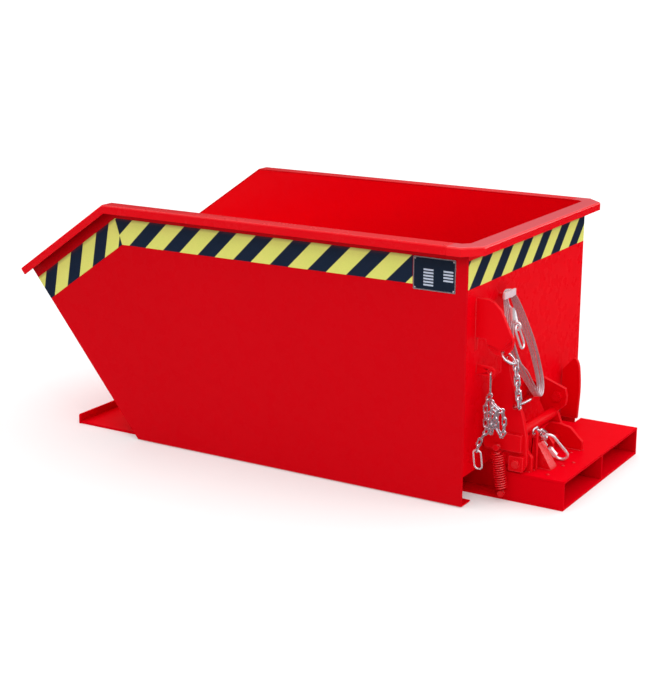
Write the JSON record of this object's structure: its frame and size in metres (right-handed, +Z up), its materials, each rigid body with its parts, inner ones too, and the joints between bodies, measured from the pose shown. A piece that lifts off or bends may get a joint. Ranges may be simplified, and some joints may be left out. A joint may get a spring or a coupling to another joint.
{
  "type": "tipping hopper",
  "caption": "Low tipping hopper for a fork-lift truck: an open sheet steel tub with a pouring lip, hinged on a base with fork pockets and held by a sprung latch with a release rope.",
  "frame": {"origin": "middle of the footprint, on the floor under the base", "axes": "+X to the rear where the forks enter, -X to the pouring lip, +Z up"},
  "size_m": [1.25, 0.64, 0.52],
  "materials": {
    "red_paint": "gloss signal red paint over welded sheet steel",
    "galvanised": "zinc plated",
    "wire_rope": "stranded galvanised steel rope",
    "bright_pin": "turned bright steel",
    "bronze_bush": "plain bronze",
    "hazard_tape": "yellow and black slanted warning tape",
    "type_plate": "dark printed aluminium plate with blank fields",
    "spring_paint": "red painted spring wire",
    "black_rubber": "black rubber"
  },
  "bodies": {
    "base": {"base_bottom_plate": "red_paint", "front_foot_plate": "red_paint", "front_stop_lip": "red_paint", "pocket_top_plate": "red_paint", "pocket_sides": "red_paint", "pocket_divider": "red_paint", "rear_box_top": "red_paint", "rear_box_sides": "red_paint", "rear_box_webs": "red_paint", "hinge_brackets": "red_paint", "hinge_pin": "bright_pin", "hinge_collars": "galvanised", "rest_pads": "black_rubber", "guide_plate": "red_paint", "latch_brackets": "red_paint", "latch_gusset": "red_paint", "spring_pin_lower": "galvanised", "chain_eye": "red_paint", "safety_chain": "galvanised", "screw_link_body": "galvanised", "latch_spring": "spring_paint"},
    "screw_sleeve": {"screw_link_sleeve": "galvanised"},
    "tub": {"tub_floor": "red_paint", "tub_front_plate": "red_paint", "tub_rear_wall": "red_paint", "tub_side_near": "red_paint", "tub_side_far": "red_paint", "bottom_flanges": "red_paint", "rim_near": "red_paint", "rim_far": "red_paint", "rim_rear": "red_paint", "hinge_ears": "red_paint", "hinge_bushes": "bronze_bush", "catch_lugs": "red_paint", "catch_pin": "bright_pin", "chain_lug": "red_paint", "lug_ring": "galvanised", "rope_hook": "red_paint", "wall_eye": "red_paint", "hazard_tapes_near": "hazard_tape", "hazard_tapes_far": "hazard_tape", "hazard_tape_rear": "hazard_tape", "type_plate": "type_plate", "type_plate_rivets": "galvanised", "rope_hank": "wire_rope", "rope_tail": "wire_rope", "rope_end_fittings": "galvanised", "rope_end_link": "galvanised", "hanging_chain": "galvanised", "snap_hook_body": "galvanised"},
    "snap_gate": {"snap_hook_gate": "galvanised"},
    "lever": {"latch_lever": "red_paint", "spring_arm": "red_paint", "pivot_boss": "red_paint", "pivot_shaft": "bright_pin", "cross_tube": "red_paint", "hook_plate": "red_paint", "lever_fasteners": "galvanised", "pull_ring": "galvanised", "release_chain": "galvanised"}
  },
  "joints": [
    {"name": "tub_tip", "type": "hinge", "parent": "base", "child": "tub", "pos_m": [-0.35, 0, 0.045], "axis": [0, -1, 0], "range_deg": [0, 52]},
    {"name": "latch_release", "type": "hinge", "parent": "base", "child": "lever", "pos_m": [0.525, 0, 0.08], "axis": [0, 1, 0], "range_deg": [0, 15], "stiffness_Nm_per_rad": 20, "springref_deg": -11.46, "deforming": ["latch_spring"]},
    {"name": "sleeve_slide", "type": "slide", "parent": "base", "child": "screw_sleeve", "axis": [-0.4366, -0.4584, 0.7742], "range_m": [0, 0.0119]},
    {"name": "snap_gate_swing", "type": "hinge", "parent": "tub", "child": "snap_gate", "pos_m": [0.46162, -0.26386, 0.10638], "axis": [-0.0501, -0.9821, -0.1814], "range_deg": [0, 25], "stiffness_Nm_per_rad": 0.02, "springref_deg": -11.46}
  ]
}
